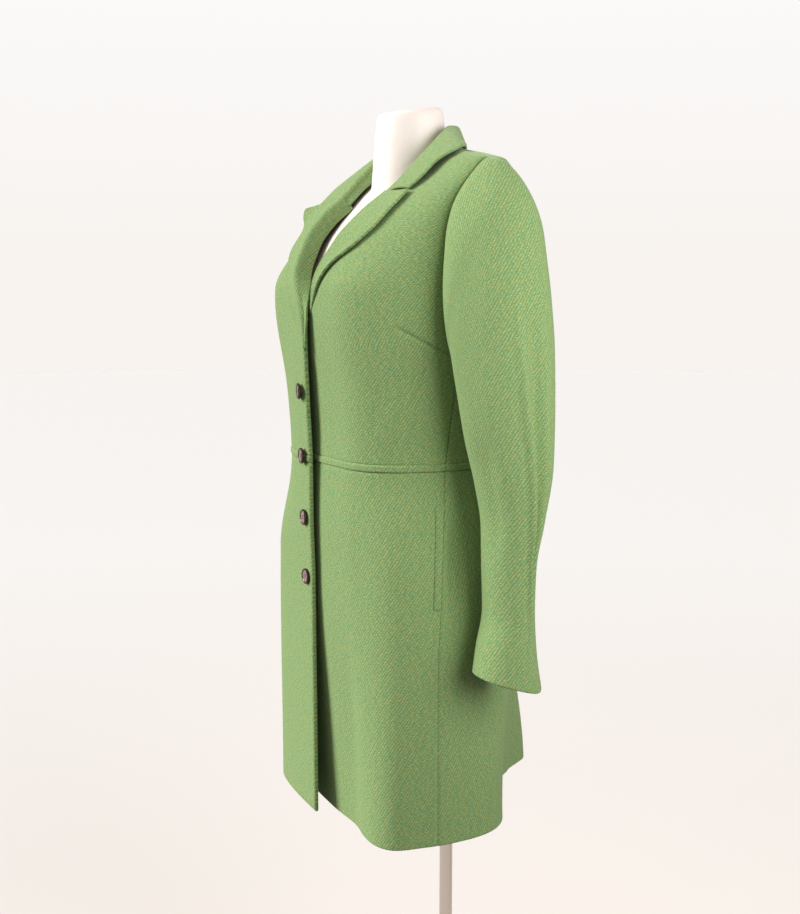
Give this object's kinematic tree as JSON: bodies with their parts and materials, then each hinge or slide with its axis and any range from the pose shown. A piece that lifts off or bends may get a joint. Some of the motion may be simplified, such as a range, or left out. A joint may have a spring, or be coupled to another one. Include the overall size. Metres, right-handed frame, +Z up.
{
  "type": "wool coat on dress form",
  "caption": "Single-breasted knee-length wool coat with notched lapels, waist seam and two-piece sleeves, on a limbless dress form with a pole and round base.",
  "frame": {"origin": "centre of the round base's underside, on the pole's axis", "axes": "+Z up along the pole, -Y towards the coat's front, +X towards the wearer's left"},
  "size_m": [0.5438, 0.4061, 1.4787],
  "materials": {
    "wool_twill": "matte napped twill",
    "button_plastic": "satin",
    "form_plastic": "smooth matte",
    "stand_steel": "polished"
  },
  "bodies": {
    "root": {"bodice_front_left": "wool_twill", "bodice_front_right": "wool_twill", "bodice_back": "wool_twill", "skirt_front_left": "wool_twill", "skirt_front_right": "wool_twill", "skirt_back": "wool_twill", "lapel_left": "wool_twill", "lapel_right": "wool_twill", "collar": "wool_twill", "sleeve_top_left": "wool_twill", "sleeve_under_left": "wool_twill", "sleeve_top_right": "wool_twill", "sleeve_under_right": "wool_twill", "pocket_welt_left": "wool_twill", "pocket_welt_right": "wool_twill", "button_1": "button_plastic", "button_2": "button_plastic", "button_3": "button_plastic", "button_4": "button_plastic", "form_torso": "form_plastic", "stand_pole": "stand_steel", "stand_base": "stand_steel"}
  },
  "joints": []
}
